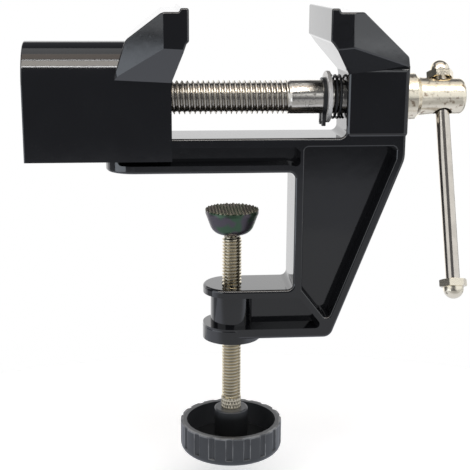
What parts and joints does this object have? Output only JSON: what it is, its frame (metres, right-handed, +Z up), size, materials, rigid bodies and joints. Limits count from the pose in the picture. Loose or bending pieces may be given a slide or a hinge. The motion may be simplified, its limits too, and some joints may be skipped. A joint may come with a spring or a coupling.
{
  "type": "clamp-on bench vise",
  "caption": "Small clamp-on bench vise: rigid cast body with C-shaped table clamp, sliding jaw drawn by a screw with tommy bar, knob-driven clamp with toothed swivel pad",
  "frame": {"origin": "on the underside of the beam, which sits on the table, straight above the clamp screw's axis", "axes": "+X from the moving jaw to the handle along the main screw, +Z up, +Y to the far side"},
  "size_m": [0.1278, 0.0458, 0.1358],
  "materials": {
    "black_paint": "gloss",
    "screw_steel": "turned",
    "bar_steel": "plated",
    "plated_steel": "plated",
    "black_steel": "blackened",
    "blackened_steel": "blackened",
    "knob_plastic": "satin"
  },
  "bodies": {
    "frame": {"vise_body": "black_paint", "screw_spring": "black_steel"},
    "screw": {"main_screw": "screw_steel", "retaining_ring": "black_steel", "thrust_washer": "plated_steel"},
    "jaw": {"moving_jaw": "black_paint"},
    "bar": {"handle_bar": "bar_steel", "cap_nut_top": "plated_steel", "cap_nut_bottom": "plated_steel"},
    "stud": {"ball_stud": "screw_steel"},
    "clamp": {"clamp_screw": "screw_steel", "clamp_knob": "knob_plastic"},
    "pad": {"clamp_pad": "blackened_steel"}
  },
  "joints": [
    {"name": "screw_spin", "type": "hinge", "parent": "frame", "child": "screw", "pos_m": [0, 0, 0.021], "axis": [-1, 0, 0], "range_deg": [-390, 9210]},
    {"name": "jaw_slide", "type": "slide", "parent": "frame", "child": "jaw", "axis": [1, 0, 0], "range_m": [-0.0016, 0.03835]},
    {"name": "bar_slide", "type": "slide", "parent": "screw", "child": "bar", "axis": [0, 0.3987, 0.9171], "range_m": [0, 0.049]},
    {"name": "clamp_raise", "type": "slide", "parent": "frame", "child": "stud", "axis": [0, 0, 1], "range_m": [-0.014, 0.01]},
    {"name": "clamp_spin", "type": "hinge", "parent": "stud", "child": "clamp", "pos_m": [0, 0, -0.021], "axis": [0, 0, 1], "range_deg": [-5045, 3605]},
    {"name": "pad_tilt", "type": "hinge", "parent": "stud", "child": "pad", "pos_m": [0, 0, -0.0163], "axis": [0, 1, 0], "range_deg": [-8, 8]}
  ],
  "couplings": [
    {"joint": "screw_spin", "follows": "jaw_slide", "rad_per_m": 4188.8},
    {"joint": "clamp_spin", "follows": "clamp_raise", "rad_per_m": 6283.2}
  ]
}
